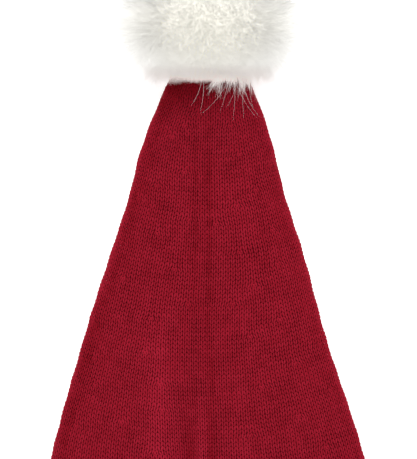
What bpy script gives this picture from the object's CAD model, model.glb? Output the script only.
"""The looks of a long knitted santa hat with a fur pompom, laid flat as it is stored.

Metres, +Z up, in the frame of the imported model: the open hem towards -Y, the pompom towards +Y
and the hat's front up. The sizes of the crown and the pompom repeat those of the part's source.
"""

import logging
import math
from dataclasses import dataclass, field, replace
from enum import Enum

import bmesh
import bpy
import numpy as np
from bpy.types import Material, Mesh, Node, NodeSocket, NodeTree, Object
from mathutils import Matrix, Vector, noise


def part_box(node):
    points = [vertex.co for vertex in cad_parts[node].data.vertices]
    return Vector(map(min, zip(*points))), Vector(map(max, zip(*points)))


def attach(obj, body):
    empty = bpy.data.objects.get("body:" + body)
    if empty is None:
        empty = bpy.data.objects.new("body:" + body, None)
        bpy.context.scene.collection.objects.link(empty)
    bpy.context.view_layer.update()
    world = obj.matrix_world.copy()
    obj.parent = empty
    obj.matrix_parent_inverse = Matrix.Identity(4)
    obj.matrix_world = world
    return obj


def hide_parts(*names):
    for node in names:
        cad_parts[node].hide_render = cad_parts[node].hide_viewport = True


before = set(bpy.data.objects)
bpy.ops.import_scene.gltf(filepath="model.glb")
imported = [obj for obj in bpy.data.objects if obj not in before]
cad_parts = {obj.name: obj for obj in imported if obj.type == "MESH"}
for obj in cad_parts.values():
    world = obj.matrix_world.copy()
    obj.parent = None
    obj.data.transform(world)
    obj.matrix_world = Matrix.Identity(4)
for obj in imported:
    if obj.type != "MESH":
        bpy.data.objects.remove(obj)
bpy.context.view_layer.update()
BODY = "root"
TRIANGLES_PER_PIECE = 200_000
TRIANGLES_IN_ALL = 1_000_000

log = logging.getLogger("santa_hat")


class Slot(Enum):
    """The record's material slots."""

    KNIT = "red_knit"
    FUR = "cream_fur"
    TIE = "tie_yarn"


class Layer(Enum):
    """The two layers of the flat crown: the quarters of its section that belong to each."""

    FRONT = (0, 1)
    BACK = (2, 3)


# Building blocks shared by every piece


def smooth_step(value: np.ndarray) -> np.ndarray:
    """A value held between 0 and 1, with soft ends."""
    value = np.clip(value, 0.0, 1.0)
    return value * value * (3.0 - 2.0 * value)


@dataclass(frozen=True)
class Rise:
    """A soft rise from 0 to 1: where it starts and the span that it takes."""

    start: float
    span: float

    def __call__(self, value: np.ndarray) -> np.ndarray:
        """How far the rise has come at each value."""
        return smooth_step((value - self.start) / self.span)


def unit(vectors: np.ndarray) -> np.ndarray:
    """Each vector brought to a length of 1."""
    return vectors / np.linalg.norm(vectors, axis=-1, keepdims=True)


def socket(sockets: bpy.types.bpy_prop_collection, name: str) -> NodeSocket:
    """The socket of a name that the node's present settings show.

    Args:
        sockets: A node's inputs or outputs.
        name: The socket's name.

    Returns:
        The first enabled socket of that name.
    """
    return next(s for s in sockets if s.name == name and s.enabled)


Given = NodeSocket | float | tuple[float, ...]
SOCKETS = {float: "Float", int: "Int", tuple: "Vector"}


class Tree:
    """A node tree under construction, for geometry or for a shader."""

    def __init__(self, tree: NodeTree) -> None:
        """Starts on a tree that has no nodes of its own to keep."""
        self.tree = tree

    def feed(self, node: Node, inputs: dict) -> None:
        """Sets a node's inputs.

        Args:
            node: The node.
            inputs: Values, or sockets of other nodes, by the input's name or number.
        """
        for name, value in inputs.items():
            target = node.inputs[name] if isinstance(name, int) else socket(node.inputs, name)
            if isinstance(value, NodeSocket):
                self.tree.links.new(value, target)
            else:
                target.default_value = value

    def add(self, kind: str, inputs: dict | None = None, **settings: object) -> Node:
        """A new node.

        Args:
            kind: The node's type name.
            inputs: What to feed it.
            **settings: The node's own settings.

        Returns:
            The node.
        """
        node = self.tree.nodes.new(kind)
        for name, value in settings.items():
            setattr(node, name, value)
        self.feed(node, inputs or {})
        return node

    def value(
        self, kind: str, inputs: dict | None = None, out: str = "", **settings: object
    ) -> NodeSocket:
        """Adds a node for the sake of one of its outputs.

        Args:
            kind: The node's type name.
            inputs: What to feed it.
            out: The output's name, or nothing for the first that is enabled.
            **settings: The node's own settings.

        Returns:
            The output's socket.
        """
        node = self.add(kind, inputs, **settings)
        if out:
            return socket(node.outputs, out)
        return next(s for s in node.outputs if s.enabled)

    def math(self, operation: str, *values: Given) -> NodeSocket:
        """The result of a Math node."""
        return self.value("ShaderNodeMath", dict(enumerate(values)), operation=operation)

    def vector(self, operation: str, *values: Given) -> NodeSocket:
        """The result of a Vector Math node.

        Args:
            operation: What it does.
            *values: Its vectors, or a vector and how often it is taken for SCALE.

        Returns:
            The result.
        """
        made = dict(enumerate(values))
        if operation == "SCALE":
            made = {0: values[0], "Scale": values[1]}
        return self.value("ShaderNodeVectorMath", made, operation=operation)

    def ramp(self, value: NodeSocket, low: float, high: float) -> NodeSocket:
        """How far a value has come from one number to another, from 0 to 1."""
        return self.value("ShaderNodeMapRange", {0: value, 1: low, 2: high})

    def blend(self, factor: Given, first: Given, second: Given, kind: str = "RGBA") -> NodeSocket:
        """A mix of two colours, or of two vectors.

        Args:
            factor: The second one's share.
            first: The one at a share of 0.
            second: The one at a share of 1.
            kind: RGBA or VECTOR.

        Returns:
            The mix.
        """
        sides = [(*side, 1.0) if isinstance(side, tuple) else side for side in (first, second)]
        start = {"VECTOR": 4, "RGBA": 6}[kind]
        inputs = {"Factor": factor, start: sides[0], start + 1: sides[1]}
        return self.value("ShaderNodeMix", inputs, out="Result", data_type=kind)

    def named(self, name: str, kind: str = "FLOAT") -> NodeSocket:
        """A value that the geometry carries."""
        return self.value("GeometryNodeInputNamedAttribute", {"Name": name}, data_type=kind)

    def chance(
        self, kind: str, low: Given, high: Given, seed: Given, offset: float
    ) -> NodeSocket:
        """A random value for each point, whose seed lies an offset past the tree's own."""
        inputs = {"Min": low, "Max": high, "Seed": self.math("ADD", seed, offset)}
        return self.value("FunctionNodeRandomValue", inputs, data_type=kind)

    def facing(self, way: NodeSocket, roll: NodeSocket) -> NodeSocket:
        """The turn that points +Z along a way, and +Y as near as may be along another.

        Args:
            way: Where +Z goes.
            roll: Where +Y leans.

        Returns:
            The turn.
        """
        inputs = {"Primary Axis": way, "Secondary Axis": roll}
        axes = {"primary_axis": "Z", "secondary_axis": "Y"}
        return self.value("FunctionNodeAxesToRotation", inputs, **axes)

    def toned(self, geometry: NodeSocket, tone: Given, domain: str) -> NodeSocket:
        """Geometry that carries a tone for its finish.

        Args:
            geometry: The geometry.
            tone: The tone, from 0 to 1.
            domain: What carries it, such as POINT or INSTANCE.

        Returns:
            The geometry with its tone.
        """
        inputs = {"Geometry": geometry, "Name": "tone", "Value": tone}
        kinds = {"data_type": "FLOAT", "domain": domain}
        return self.value("GeometryNodeStoreNamedAttribute", inputs, **kinds)

    def repeat(
        self,
        points: NodeSocket,
        shape: NodeSocket,
        turn: NodeSocket,
        size: NodeSocket,
        tone: NodeSocket,
    ) -> NodeSocket:
        """An object set on each point, turned, sized and toned.

        Args:
            points: Where.
            shape: The object.
            turn: How it is turned on each point.
            size: Its scale on each point.
            tone: Its tone on each point.

        Returns:
            The instances.
        """
        made = self.value("GeometryNodeObjectInfo", {"Object": shape}, out="Geometry")
        inputs = {"Points": points, "Instance": made, "Rotation": turn, "Scale": size}
        return self.toned(self.value("GeometryNodeInstanceOnPoints", inputs), tone, "INSTANCE")


def new_group(name: str, kind: str, inputs: dict, outputs: dict[str, str]) -> tuple[Tree, dict]:
    """A new node group with named inputs and outputs.

    Args:
        name: The group's name.
        kind: The type of its tree.
        inputs: Its inputs, each with its usual value, or with what it takes, such as "Object".
        outputs: Its outputs, each with what it gives, such as "Float".

    Returns:
        The tree, and the sockets of its inputs by name.
    """
    group = bpy.data.node_groups.new(name, kind)
    for label, usual in inputs.items():
        takes = usual if isinstance(usual, str) else SOCKETS[type(usual)]
        made = group.interface.new_socket(label, in_out="INPUT", socket_type="NodeSocket" + takes)
        if takes != usual:
            made.default_value = usual
    for label, gives in outputs.items():
        group.interface.new_socket(label, in_out="OUTPUT", socket_type="NodeSocket" + gives)
    tree = Tree(group)
    entry = tree.add("NodeGroupInput")
    return tree, {s.name: s for s in entry.outputs if s.name}


def geometry_tree(name: str, inputs: dict) -> tuple[Tree, dict]:
    """A new Geometry Nodes group, with its geometry in and out beside the inputs given.

    Args:
        name: The group's name.
        inputs: Its other inputs, as new_group takes them.

    Returns:
        The tree, and the sockets of its inputs by name.
    """
    whole = {"Geometry": "Geometry"}
    tree, given = new_group(name, "GeometryNodeTree", {**whole, **inputs}, whole)
    tree.tree.is_modifier = True
    return tree, given


def finish_tree(tree: Tree, geometry: NodeSocket, finish: NodeSocket) -> None:
    """Ends a Geometry Nodes tree in real geometry with its material set.

    Args:
        tree: The tree.
        geometry: What it has made.
        finish: The socket of the material.
    """
    real = tree.value("GeometryNodeRealizeInstances", {"Geometry": geometry})
    dressed = tree.value("GeometryNodeSetMaterial", {"Geometry": real, "Material": finish})
    tree.add("NodeGroupOutput", {"Geometry": dressed})


def kept_clear(tree: Tree, geometry: NodeSocket, least: dict) -> NodeSocket:
    """Geometry, realized, with its points held back: on a floor, or where fur parts over the knit.

    Args:
        tree: The tree.
        geometry: What to hold back.
        least: The least coordinate that each point may have, by axis.

    Returns:
        The geometry.
    """
    real = tree.value("GeometryNodeRealizeInstances", {"Geometry": geometry})
    spot = tree.add("ShaderNodeSeparateXYZ", {"Vector": tree.value("GeometryNodeInputPosition")})
    sides = {axis: spot.outputs[axis] for axis in "XYZ"}
    for axis, limit in least.items():
        sides[axis] = tree.math("MAXIMUM", sides[axis], limit)
    place = tree.value("ShaderNodeCombineXYZ", sides)
    return tree.value("GeometryNodeSetPosition", {"Geometry": real, "Position": place})


def grow(
    name: str,
    carrier: Object,
    tree: Tree,
    inputs: dict,
    spent: tuple[str, ...] = (),
) -> Object:
    """Runs a Geometry Nodes tree on a carrier and keeps the result as a plain mesh.

    Args:
        name: The finished piece's name.
        carrier: The object that the tree starts from, which is removed.
        tree: The tree.
        inputs: The tree's inputs by name.
        spent: Attributes that only the tree needs.

    Returns:
        The piece.
    """
    modifier = carrier.modifiers.new(name, "NODES")
    modifier.node_group = tree.tree
    for item in tree.tree.interface.items_tree:
        if item.in_out == "INPUT" and item.name in inputs:
            modifier[item.identifier] = inputs[item.name]
    graph = bpy.context.evaluated_depsgraph_get()
    mesh = bpy.data.meshes.new_from_object(
        carrier.evaluated_get(graph), preserve_all_data_layers=True, depsgraph=graph
    )
    carrier.modifiers.clear()
    discard(carrier)
    for attribute in spent:
        if attribute in mesh.attributes:
            mesh.attributes.remove(mesh.attributes[attribute])
    mesh.name = name
    return link(bpy.data.objects.new(name, mesh))


def link(obj: Object) -> Object:
    """Puts an object in the scene."""
    bpy.context.scene.collection.objects.link(obj)
    return obj


def mesh_object(name: str, points: np.ndarray, faces: list[tuple[int, ...]] = ()) -> Object:
    """An object with a smooth mesh of its own.

    Args:
        name: The name of both.
        points: The mesh's points.
        faces: Its faces, as numbers of points.

    Returns:
        The object, in the scene.
    """
    mesh = bpy.data.meshes.new(name)
    mesh.from_pydata([tuple(p) for p in points], [], [tuple(int(i) for i in f) for f in faces])
    mesh.shade_smooth()
    return link(bpy.data.objects.new(name, mesh))


def add_attribute(mesh: Mesh, name: str, values: np.ndarray) -> None:
    """Stores one number or vector for each vertex of a mesh.

    Args:
        mesh: The mesh.
        name: The attribute's name.
        values: A number or a row of three for each vertex.
    """
    vectors = values.ndim == 2
    kind = "FLOAT_VECTOR" if vectors else "FLOAT"
    made = mesh.attributes.new(name, kind, "POINT")
    made.data.foreach_set("vector" if vectors else "value", values.astype(np.float32).ravel())


def set_even_tone(mesh: Mesh) -> None:
    """Gives a mesh the middle tone of its finish all over."""
    add_attribute(mesh, "tone", np.full(len(mesh.vertices), 0.5))


def add_uv(mesh: Mesh, name: str, places: np.ndarray) -> None:
    """Stores a UV map from one place for each corner of the mesh's faces."""
    made = mesh.uv_layers.new(name=name)
    made.uv.foreach_set("vector", places.astype(np.float32).ravel())


def discard(*objects: Object) -> None:
    """Removes objects that only served to make others."""
    for obj in objects:
        bpy.data.objects.remove(obj, do_unlink=True)


def face_outwards(obj: Object) -> None:
    """Turns the faces of a closed mesh outwards.

    Args:
        obj: The mesh's object.
    """
    bm = bmesh.new()
    bm.from_mesh(obj.data)
    bmesh.ops.recalc_face_normals(bm, faces=bm.faces)
    bm.to_mesh(obj.data)
    bm.free()


def ring_faces(rings: int, sides: int, closed: bool = False) -> list[tuple[int, ...]]:
    """The quads between rings of vertices that follow each other.

    Args:
        rings: How many rings.
        sides: How many vertices each ring has.
        closed: Whether the last ring joins the first.

    Returns:
        The faces, as vertex numbers.
    """
    faces = []
    for i in range(rings if closed else rings - 1):
        low, high = i * sides, (i + 1) % rings * sides
        for j in range(sides):
            k = (j + 1) % sides
            faces.append((low + j, high + j, high + k, low + k))
    return faces


def triangle_count(obj: Object) -> int:
    """How many triangles a mesh object has."""
    obj.data.calc_loop_triangles()
    return len(obj.data.loop_triangles)


@dataclass
class Inventory:
    """The finished pieces and how many triangles they take."""

    pieces: dict[str, int] = field(default_factory=dict)

    def take(self, obj: Object, slot: Slot, *replaced: str) -> Object:
        """Puts a finished piece on the hat's body.

        Args:
            obj: The piece.
            slot: The record's slot that its finish belongs to.
            *replaced: The CAD nodes that it stands for.

        Returns:
            The piece.
        """
        if replaced:
            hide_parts(*replaced)
        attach(obj, BODY)
        self.pieces[obj.name] = triangle_count(obj)
        log.info("%s: %d triangles", obj.name, self.pieces[obj.name])
        return obj

    def check(self) -> None:
        """Says where the pieces are finer than they may be."""
        total = sum(self.pieces.values())
        log.info("in all: %d pieces, %d triangles", len(self.pieces), total)
        for name, count in self.pieces.items():
            if count > TRIANGLES_PER_PIECE:
                log.warning("%s is too fine", name)
        if total > TRIANGLES_IN_ALL:
            log.warning("the pieces together are too fine")


# The forms that the part's source gives the crown and the pompom


@dataclass(frozen=True)
class Station:
    """A row of the crown's table, in shares of its sizes, from hem to tip."""

    along: float
    width: float
    height: float
    lift: float
    sway: float
    roundness: float


@dataclass(frozen=True)
class Fold:
    """A soft fold that runs along the crown's upper layer, and how much lighter its yarn looks."""

    across: float
    low: float
    high: float
    spread: float
    rise: float
    tone: float = 0.0

    def bump(self, x: np.ndarray, along: np.ndarray, hem_width: float) -> np.ndarray:
        """The fold's share, from 0 to 1, at each place.

        Args:
            x: Places across the crown.
            along: Shares of the crown's length.
            hem_width: The hem's width.

        Returns:
            The shares.
        """
        run = np.clip((along - self.low) / (self.high - self.low), 0.0, 1.0)
        away = (x - self.across * hem_width / 2.0) / (self.spread * hem_width)
        return np.sin(math.pi * run) * np.exp(-away * away)


@dataclass(frozen=True)
class BallForm:
    """The pompom's head and its fur: half sizes, and how the crown's tip meets it."""

    half_width: float = 0.044
    half_length: float = 0.034
    half_height: float = 0.034
    ahead: float = 0.023
    fur_under: float = 0.010
    tip_below_centre: float = 0.008

    @property
    def centre_height(self) -> float:
        """How high the head's centre stands."""
        return self.half_height + self.fur_under

    def centre(self, tip: np.ndarray) -> np.ndarray:
        """The middle of the ball, ahead of the crown's tip."""
        return np.array((tip[0], tip[1] + self.ahead, self.centre_height))

    @property
    def halves(self) -> np.ndarray:
        """The head's three half sizes."""
        return np.array((self.half_width, self.half_length, self.half_height))


@dataclass(frozen=True)
class CrownForm:
    """The crown's shape: a point of its wall for each share of its length and turn round it.

    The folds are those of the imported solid. The creases, up to 2.5 mm deep, and the slight waves of
    the two folded edges are finer than it holds.
    """

    hem_y: float
    tip_lift: float
    hem_width: float = 0.245
    length: float = 0.375
    loft: float = 0.029
    wall: float = 0.0028
    hem_wall: float = 0.0048
    hem_depth: float = 0.022
    fold_edge_height: float = 0.0085
    tip_radius: float = 0.0065
    gather_length: float = 0.014
    gather_pleats: int = 9
    gather_depth: float = 0.0012
    hole_radius: float = 0.0027
    flat_from: float = 0.36
    fullness: float = 0.92
    fold_fade: float = 1.4
    stations: tuple[Station, ...] = (
        Station(0.000, 1.000, 0.76, 0.00, 0.002, 0.0),
        Station(0.090, 0.997, 0.87, 0.00, 0.001, 0.0),
        Station(0.175, 0.964, 0.96, 0.00, 0.000, 0.0),
        Station(0.261, 0.897, 1.00, 0.00, -0.002, 0.0),
        Station(0.488, 0.691, 1.00, 0.00, -0.010, 0.0),
        Station(0.668, 0.526, 0.97, 0.00, -0.004, 0.0),
        Station(0.757, 0.441, 0.95, 0.05, -0.004, 0.1),
        Station(0.817, 0.394, 0.94, 0.18, -0.004, 0.3),
        Station(0.877, 0.333, 0.92, 0.42, -0.001, 0.6),
        Station(0.951, 0.240, 0.88, 0.80, 0.001, 1.0),
        Station(1.000, 0.170, 0.80, 1.00, 0.001, 1.0),
    )
    folds: tuple[Fold, ...] = (
        Fold(-0.28, 0.03, 0.56, 0.055, 0.10),
        Fold(-0.12, 0.05, 0.46, 0.035, -0.13),
        Fold(-0.03, 0.06, 0.40, 0.030, 0.07),
        Fold(0.06, 0.06, 0.40, 0.030, -0.07),
        Fold(0.17, 0.03, 0.50, 0.050, 0.08),
    )
    creases: tuple[Fold, ...] = (
        Fold(0.003, 0.34, 1.02, 0.013, -0.050, -0.21),
        Fold(-0.072, 0.40, 1.00, 0.013, -0.035, -0.16),
        Fold(-0.105, -0.12, 0.34, 0.022, -0.085, -0.45),
        Fold(-0.038, -0.10, 0.40, 0.012, 0.060, 0.55),
        Fold(0.020, 0.00, 0.52, 0.013, -0.040, -0.20),
        Fold(-0.270, -0.05, 0.58, 0.050, 0.050, 0.30),
        Fold(0.157, -0.10, 0.33, 0.030, 0.035, 0.10),
    )
    edge_wave: float = 0.00022
    edge_waves: float = 17.0
    edge_sway: float = 23.0
    wavy_from: Rise = Rise(0.0, 0.25)
    edge_band_at: float = 0.0065
    edge_band: float = 0.0050
    edge_tone: float = -0.20
    right_edge_share: float = 0.4
    rim: float = 0.0022
    rim_tone: float = 0.36
    dull_from: Rise = Rise(0.87, 0.095)
    dull_until: Rise = Rise(0.008, 0.020)
    dull_lost: float = 0.6
    tip_tone: float = -0.54

    @property
    def gather_start(self) -> float:
        """Where the gathers at the tip begin, as a share of the length."""
        return 1.0 - self.gather_length / self.length

    def value(self, column: str, along: np.ndarray) -> np.ndarray:
        """One column of the stations, at and between their rows, without overshoot.

        Args:
            column: The column's name.
            along: Shares of the crown's length.

        Returns:
            The column's value at each.
        """
        places = np.array([row.along for row in self.stations])
        values = np.array([getattr(row, column) for row in self.stations])
        steps = np.diff(values) / np.diff(places)
        before, after = steps[:-1], steps[1:]
        same_way = before * after > 0.0
        total = np.where(same_way, before + after, 1.0)
        inner = np.where(same_way, 2.0 * before * after / total, 0.0)
        slope = np.concatenate((steps[:1], inner, steps[-1:]))
        along = np.clip(along, places[0], places[-1])
        row = np.clip(np.searchsorted(places, along, side="right") - 1, 0, len(places) - 2)
        span = places[row + 1] - places[row]
        t = (along - places[row]) / span
        return (
            values[row] * (1.0 + 2.0 * t) * (1.0 - t) ** 2
            + values[row + 1] * t * t * (3.0 - 2.0 * t)
            + span * slope[row] * t * (1.0 - t) ** 2
            + span * slope[row + 1] * t * t * (t - 1.0)
        )

    def half_width(self, along: np.ndarray) -> np.ndarray:
        """Half the crown's width at places along it."""
        return self.value("width", along) * self.hem_width / 2.0

    def sway(self, along: np.ndarray) -> np.ndarray:
        """How far the crown's middle line lies to the side at places along it."""
        return self.value("sway", along) * self.hem_width

    def fold_rise(self, x: np.ndarray, along: np.ndarray) -> np.ndarray:
        """How far the folds and creases lift the upper layer at each place.

        Args:
            x: Places across the crown.
            along: Shares of its length.

        Returns:
            The lifts.
        """
        rise = np.zeros(np.broadcast(x, along).shape)
        for fold in self.folds + self.creases:
            rise = rise + fold.rise * self.loft * fold.bump(x, along, self.hem_width)
        return rise

    def tone(self, points: np.ndarray) -> np.ndarray:
        """How much lighter or darker the upper layer's yarn looks: rubbed ridges, dull creases.

        Args:
            points: Points of the upper layer.

        Returns:
            What to add to the tone at each.
        """
        x, along = points[:, 0], (points[:, 1] - self.hem_y) / self.length
        tone = sum(fold.tone * fold.bump(x, along, self.hem_width) for fold in self.creases)
        inside = self.half_width(along) - np.abs(x - self.sway(along))
        left = np.where(x < 0.0, 1.0, self.right_edge_share)
        band = np.exp(-(((inside - self.edge_band_at) / self.edge_band) ** 2))
        dull = self.dull_from(along) * (1.0 - self.dull_lost * self.dull_until(x))
        rim = np.exp(-((inside / self.rim) ** 2))
        return tone + self.edge_tone * left * band + self.rim_tone * rim + self.tip_tone * dull

    def section(self, along: np.ndarray, turn: np.ndarray, inset: np.ndarray) -> np.ndarray:
        """Points of the crown's section before it is gathered.

        Args:
            along: Shares of the crown's length.
            turn: Angles round the section, from the +X folded edge over the upper layer.
            inset: How far inside the outer face each point lies.

        Returns:
            The points.
        """
        side = np.where(np.cos(turn) > 0.0, 0.0, 2.0)
        waves = np.sin(math.tau * self.edge_waves * along + side)
        waves = waves + np.sin(self.edge_sway * along - 3.0 * side)
        wave = self.edge_wave * waves * self.wavy_from(along)
        half = self.half_width(along) + wave - inset
        height = self.value("height", along) * self.loft - 2.0 * inset
        lift = self.value("lift", along) * self.tip_lift + inset
        roundness = self.value("roundness", along)
        flat_edge = self.fold_edge_height - inset
        edge = flat_edge + (height / 2.0 - flat_edge) * roundness
        x, sine = half * np.cos(turn), np.sin(turn)
        above = np.maximum(sine, 0.0)
        folds = self.fold_rise(x, along) * smooth_step(above * self.fold_fade)
        upper = edge + (height - edge) * above**self.fullness + folds
        dip = np.clip(-sine / self.flat_from, 0.0, 1.0)
        flat = edge * (1.0 - np.sin(math.pi / 2.0 * dip))
        lower = flat + (edge * (1.0 + sine) - flat) * roundness
        z = np.where(sine >= 0.0, upper, lower)
        y = self.hem_y + along * self.length
        return np.stack(np.broadcast_arrays(x + self.sway(along), y, z + lift), axis=-1)

    def middle(self, along: float) -> np.ndarray:
        """The middle of the crown's section.

        Args:
            along: A share of its length.

        Returns:
            The point.
        """
        low = self.value("lift", along) * self.tip_lift
        height = self.value("height", along) * self.loft
        y = self.hem_y + along * self.length
        return np.array((self.sway(along), y, low + height / 2.0))

    @property
    def tip(self) -> np.ndarray:
        """The middle of the hole at the crown's tip."""
        middle = self.middle(self.gather_start)
        return np.array((middle[0], self.hem_y + self.length, middle[2]))

    def surface(self, along: np.ndarray, turn: np.ndarray, inset: np.ndarray) -> np.ndarray:
        """Points of the crown's wall, with the gathers at its tip.

        Args:
            along: Shares of the crown's length.
            turn: Angles round the section, as section takes them.
            inset: How far inside the outer face each point lies.

        Returns:
            The points.
        """
        start = self.gather_start
        plain = self.section(np.minimum(along, start), turn, inset)
        run = np.clip((along - start) / (1.0 - start), 0.0, 1.0)
        middle = self.middle(start)
        away = self.section(start, turn, 0.0) - middle
        reach = np.linalg.norm(away, axis=-1)
        pleat = 1.0 + np.cos(self.gather_pleats * turn)
        depth = self.gather_depth * pleat * np.sqrt(np.sin(math.pi * np.minimum(run, 0.999)))
        swell = np.sqrt(1.0 - run * run)
        size = self.tip_radius + (reach - self.tip_radius) * swell - depth - inset
        drawn = middle + away / reach[..., None] * size[..., None]
        drawn[..., 1] = drawn[..., 1] + run * (self.gather_length - inset)
        return np.where((run > 0.0)[..., None], drawn, plain)

    def top_height(self, x: np.ndarray, y: np.ndarray) -> np.ndarray:
        """How high the upper layer stands over places of the floor.

        Args:
            x: Their places across the crown.
            y: Their places along it.

        Returns:
            The heights.
        """
        along = (y - self.hem_y) / self.length
        across = (x - self.sway(along)) / self.half_width(along)
        turn = np.arccos(np.clip(across, -1.0, 1.0))
        return self.surface(along, turn, np.zeros(np.shape(along)))[..., 2]


# Finishes


def new_material(name: str) -> tuple[Material, Tree, Node]:
    """A new material.

    Args:
        name: Its name.

    Returns:
        The material, its tree and its Principled shader.
    """
    made = bpy.data.materials.new(name)
    made.use_nodes = True
    return made, Tree(made.node_tree), made.node_tree.nodes["Principled BSDF"]


def fuzz_group() -> NodeTree:
    """Loose fibres on yarn: fine noise for its height and slow noise for its tone.

    Returns:
        The group.
    """
    usual = {"Fineness": 2600.0, "Patch Size": 0.03}
    outputs = {"Height": "Float", "Tone": "Float"}
    tree, given = new_group("yarn_fuzz", "ShaderNodeTree", usual, outputs)
    place = tree.value("ShaderNodeTexCoord", out="Object")
    fine = {"Vector": place, "Scale": given["Fineness"], "Detail": 3.0, "Roughness": 0.7}
    slow = tree.math("DIVIDE", 1.0, given["Patch Size"])
    slow = {"Vector": place, "Scale": slow, "Detail": 4.0}
    made = [tree.value("ShaderNodeTexNoise", inputs) for inputs in (fine, slow)]
    tree.add("NodeGroupOutput", dict(zip(outputs, made)))
    return tree.tree


def uv_sides(tree: Tree, name: str) -> list[NodeSocket]:
    """The two numbers of a UV map."""
    place = tree.value("ShaderNodeUVMap", uv_map=name)
    return tree.add("ShaderNodeSeparateXYZ", {"Vector": place}).outputs[:2]


def twist_group() -> NodeTree:
    """The plies of a twisted yarn, from a UV map that runs along it and round it.

    Returns:
        The group.
    """
    usual = {"Plies": 2.0, "Turns": 2.5}
    tree, given = new_group("yarn_twist", "ShaderNodeTree", usual, {"Height": "Float"})
    along, around = uv_sides(tree, "Yarn")
    along = tree.math("MULTIPLY", along, given["Turns"])
    around = tree.math("MULTIPLY", around, given["Plies"])
    angle = tree.math("MULTIPLY", tree.math("ADD", along, around), 2.0 * math.pi)
    wave = tree.math("ABSOLUTE", tree.math("SINE", tree.math("MULTIPLY", angle, 0.5)))
    tree.add("NodeGroupOutput", {"Height": wave})
    return tree.tree


PURL_BEND = 1.2
PURL_GAPS = 0.3


def purl_group() -> NodeTree:
    """The small arcs of the wrong side of a knit, from a UV map in metres across and along.

    Returns:
        The group.
    """
    usual = {"Wale": 0.00343, "Course": 0.00294}
    tree, given = new_group("purl_relief", "ShaderNodeTree", usual, {"Height": "Float"})
    across, along = (
        tree.math("MULTIPLY", tree.math("DIVIDE", side, given[pitch]), math.tau)
        for side, pitch in zip(uv_sides(tree, "Fabric"), usual)
    )
    bend = tree.math("MULTIPLY", tree.math("COSINE", across), PURL_BEND)
    rows = tree.math("SINE", tree.math("ADD", along, bend))
    gaps = tree.math("COSINE", tree.math("MULTIPLY", across, 2.0))
    gaps = tree.math("MULTIPLY", gaps, PURL_GAPS)
    tree.add("NodeGroupOutput", {"Height": tree.math("ADD", rows, gaps)})
    return tree.tree


# The fur's masks: for each its axis, and the places on it where the mask is 0 and 1. The front mask
# fades to the sides, and the far side shows more of each hair's own shading.
FRONT_MASK_ENDS = (0.3, 0.9)
FRONT_MASK_LOST = 1.4
CRISP_BEHIND = (0.7, 1.15)
CRISP_GAIN = 0.5
FUR_MASKS = {
    "Up": ("Z", 0.45, 1.15),
    "Front": ("Y", -0.05, -0.5),
    "Knit Edge": ("Y", -0.84, -1.12),
    "Far Side": ("Y", 0.2, 0.7),
}


def fluff_group() -> NodeTree:
    """Normals for fur: those of the ball that the fur makes, mixed with each hair's own.

    Its masks run from 0 to 1 between two places along an axis, in shares of the ball's half size.

    Returns:
        The group.
    """
    usual = {"Centre": (0.0, 0.0, 0.0), "Halves": (1.0, 1.0, 1.0), "Softness": 0.6}
    outputs = {"Normal": "Vector", **dict.fromkeys(FUR_MASKS, "Float")}
    tree, given = new_group("fluff_normal", "ShaderNodeTree", usual, outputs)
    place = tree.value("ShaderNodeTexCoord", out="Object")
    away = tree.vector("DIVIDE", tree.vector("SUBTRACT", place, given["Centre"]), given["Halves"])
    ball = tree.vector("NORMALIZE", tree.vector("DIVIDE", away, given["Halves"]))
    own = tree.value("ShaderNodeNewGeometry", out="Normal")
    parts = tree.add("ShaderNodeSeparateXYZ", {"Vector": away}).outputs
    masks = {name: tree.ramp(parts[axis], *run) for name, (axis, *run) in FUR_MASKS.items()}
    aside = tree.ramp(tree.math("ABSOLUTE", parts["X"]), *FRONT_MASK_ENDS)
    middle = tree.math("MULTIPLY_ADD", aside, -FRONT_MASK_LOST, 1.0)
    masks["Front"] = tree.math("MULTIPLY", masks["Front"], middle)
    crisp = tree.math("MULTIPLY_ADD", tree.ramp(parts["Y"], *CRISP_BEHIND), -CRISP_GAIN, 1.0)
    softness = tree.math("MULTIPLY", given["Softness"], crisp)
    normal = tree.vector("NORMALIZE", tree.blend(softness, own, ball, "VECTOR"))
    tree.add("NodeGroupOutput", {"Normal": normal, **masks})
    return tree.tree


@dataclass(frozen=True)
class Groups:
    """The shader node groups that the finishes share."""

    fuzz: NodeTree
    twist: NodeTree
    purl: NodeTree
    fluff: NodeTree

    @classmethod
    def build(cls) -> "Groups":
        """Makes each group once."""
        return cls(fuzz_group(), twist_group(), purl_group(), fluff_group())


class Relief(Enum):
    """What stands out on a yarn finish."""

    TWIST = "twist"
    PURL = "purl"


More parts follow.
